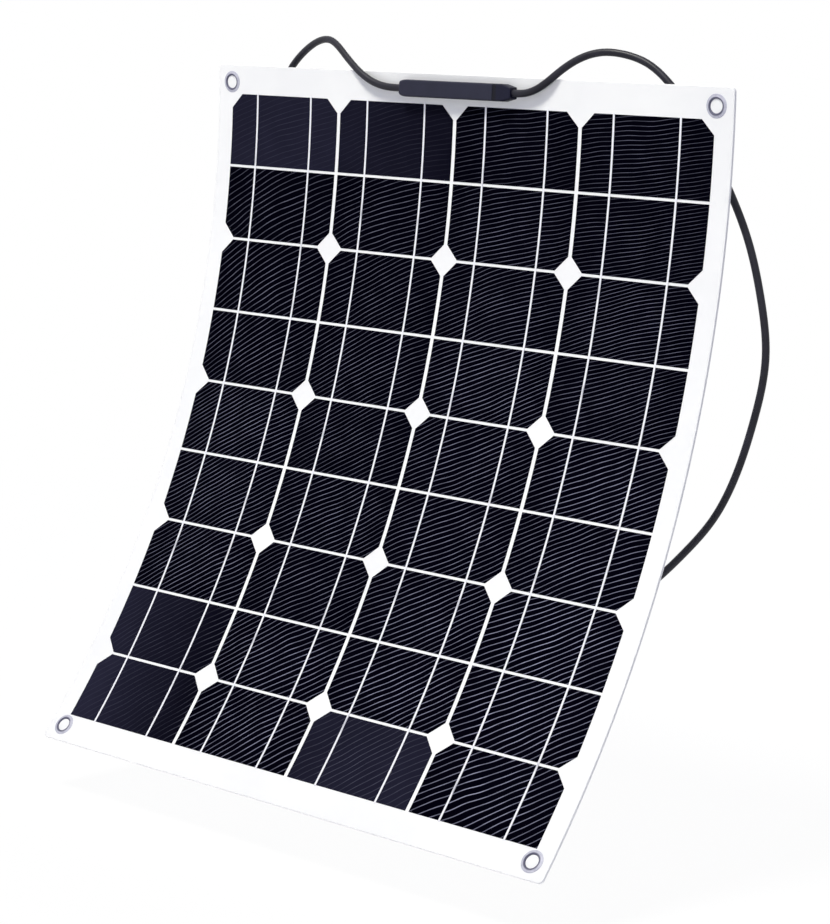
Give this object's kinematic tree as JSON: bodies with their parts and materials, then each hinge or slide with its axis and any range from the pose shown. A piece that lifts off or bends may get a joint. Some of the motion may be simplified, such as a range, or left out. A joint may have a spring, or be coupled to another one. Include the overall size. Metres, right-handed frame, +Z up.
{
  "type": "flexible solar sheet",
  "caption": "Thin bendable solar sheet with half-cut dark cells on a white laminate, corner eyelets, a slim junction box and two leads with plug-in connectors.",
  "frame": {"origin": "midway between the centres of the two top eyelets, in the middle plane of the sheet", "axes": "+Z up along the sheet's upright top row, +X to the right seen from the front, -Y out of the front face, towards which the lower end sweeps"},
  "size_m": [0.5759, 0.2168, 0.6065],
  "materials": {
    "laminate": "satin white film",
    "cell": "blue-black silicon under clear film",
    "eyelet": "bright nickel plate",
    "box": "fine matte moulding",
    "box_cap": "fine matte moulding",
    "diode": "moulded epoxy",
    "lead": "satin cable jacket",
    "connector": "satin moulding",
    "nut": "satin moulding",
    "contact": "tin plate on copper alloy"
  },
  "bodies": {
    "row_1": {"laminate_row_1": "laminate", "half_cell_row_1_column_1": "cell", "half_cell_row_1_column_2": "cell", "half_cell_row_1_column_3": "cell", "half_cell_row_1_column_4": "cell", "eyelet_top_left": "eyelet", "eyelet_top_right": "eyelet", "junction_box_body": "box", "junction_box_end_cap": "box_cap", "bypass_diode": "diode", "left_lead": "lead", "right_lead": "lead", "plug_housing": "connector", "socket_housing": "connector", "plug_contact": "contact", "socket_contact": "contact"},
    "row_2": {"laminate_row_2": "laminate", "half_cell_row_2_column_1": "cell", "half_cell_row_2_column_2": "cell", "half_cell_row_2_column_3": "cell", "half_cell_row_2_column_4": "cell"},
    "row_3": {"laminate_row_3": "laminate", "half_cell_row_3_column_1": "cell", "half_cell_row_3_column_2": "cell", "half_cell_row_3_column_3": "cell", "half_cell_row_3_column_4": "cell"},
    "row_4": {"laminate_row_4": "laminate", "half_cell_row_4_column_1": "cell", "half_cell_row_4_column_2": "cell", "half_cell_row_4_column_3": "cell", "half_cell_row_4_column_4": "cell"},
    "row_5": {"laminate_row_5": "laminate", "half_cell_row_5_column_1": "cell", "half_cell_row_5_column_2": "cell", "half_cell_row_5_column_3": "cell", "half_cell_row_5_column_4": "cell"},
    "row_6": {"laminate_row_6": "laminate", "half_cell_row_6_column_1": "cell", "half_cell_row_6_column_2": "cell", "half_cell_row_6_column_3": "cell", "half_cell_row_6_column_4": "cell"},
    "row_7": {"laminate_row_7": "laminate", "half_cell_row_7_column_1": "cell", "half_cell_row_7_column_2": "cell", "half_cell_row_7_column_3": "cell", "half_cell_row_7_column_4": "cell"},
    "row_8": {"laminate_row_8": "laminate", "half_cell_row_8_column_1": "cell", "half_cell_row_8_column_2": "cell", "half_cell_row_8_column_3": "cell", "half_cell_row_8_column_4": "cell"},
    "row_9": {"laminate_row_9": "laminate", "half_cell_row_9_column_1": "cell", "half_cell_row_9_column_2": "cell", "half_cell_row_9_column_3": "cell", "half_cell_row_9_column_4": "cell", "eyelet_bottom_left": "eyelet", "eyelet_bottom_right": "eyelet"},
    "left_nut": {"left_gland_nut": "nut"},
    "right_nut": {"right_gland_nut": "nut"}
  },
  "joints": [
    {"name": "flex_row_1_to_2", "type": "hinge", "parent": "row_1", "child": "row_2", "pos_m": [0, 0, -0.0728], "axis": [1, 0, 0], "range_deg": [0, 4.4], "stiffness_Nm_per_rad": 80},
    {"name": "flex_row_2_to_3", "type": "hinge", "parent": "row_2", "child": "row_3", "pos_m": [0, -0.00488, -0.13621], "axis": [1, 0, 0], "range_deg": [0, 4.4], "stiffness_Nm_per_rad": 80},
    {"name": "flex_row_3_to_4", "type": "hinge", "parent": "row_3", "child": "row_4", "pos_m": [0, -0.0146, -0.19906], "axis": [1, 0, 0], "range_deg": [0, 4.4], "stiffness_Nm_per_rad": 80},
    {"name": "flex_row_4_to_5", "type": "hinge", "parent": "row_4", "child": "row_5", "pos_m": [0, -0.02911, -0.26099], "axis": [1, 0, 0], "range_deg": [0, 4.4], "stiffness_Nm_per_rad": 80},
    {"name": "flex_row_5_to_6", "type": "hinge", "parent": "row_5", "child": "row_6", "pos_m": [0, -0.04833, -0.32161], "axis": [1, 0, 0], "range_deg": [0, 4.4], "stiffness_Nm_per_rad": 80},
    {"name": "flex_row_6_to_7", "type": "hinge", "parent": "row_6", "child": "row_7", "pos_m": [0, -0.07214, -0.38059], "axis": [1, 0, 0], "range_deg": [0, 4.4], "stiffness_Nm_per_rad": 80},
    {"name": "flex_row_7_to_8", "type": "hinge", "parent": "row_7", "child": "row_8", "pos_m": [0, -0.1004, -0.43757], "axis": [1, 0, 0], "range_deg": [0, 4.4], "stiffness_Nm_per_rad": 80},
    {"name": "flex_row_8_to_9", "type": "hinge", "parent": "row_8", "child": "row_9", "pos_m": [0, -0.13294, -0.49221], "axis": [1, 0, 0], "range_deg": [0, 4.4], "stiffness_Nm_per_rad": 80},
    {"name": "left_nut_turn", "type": "hinge", "parent": "row_1", "child": "left_nut", "pos_m": [-0.118, 0.023, -0.448], "axis": [-0.3716, 0, 0.9284], "range_deg": [0, 720]},
    {"name": "right_nut_turn", "type": "hinge", "parent": "row_1", "child": "right_nut", "pos_m": [0.132, 0.02, -0.444], "axis": [0.6031, 0, 0.7977], "range_deg": [0, 720]}
  ],
  "couplings": [
    {"joint": "flex_row_2_to_3", "follows": "flex_row_1_to_2", "ratio": 1},
    {"joint": "flex_row_3_to_4", "follows": "flex_row_1_to_2", "ratio": 1},
    {"joint": "flex_row_4_to_5", "follows": "flex_row_1_to_2", "ratio": 1},
    {"joint": "flex_row_5_to_6", "follows": "flex_row_1_to_2", "ratio": 1},
    {"joint": "flex_row_6_to_7", "follows": "flex_row_1_to_2", "ratio": 1},
    {"joint": "flex_row_7_to_8", "follows": "flex_row_1_to_2", "ratio": 1},
    {"joint": "flex_row_8_to_9", "follows": "flex_row_1_to_2", "ratio": 1}
  ]
}
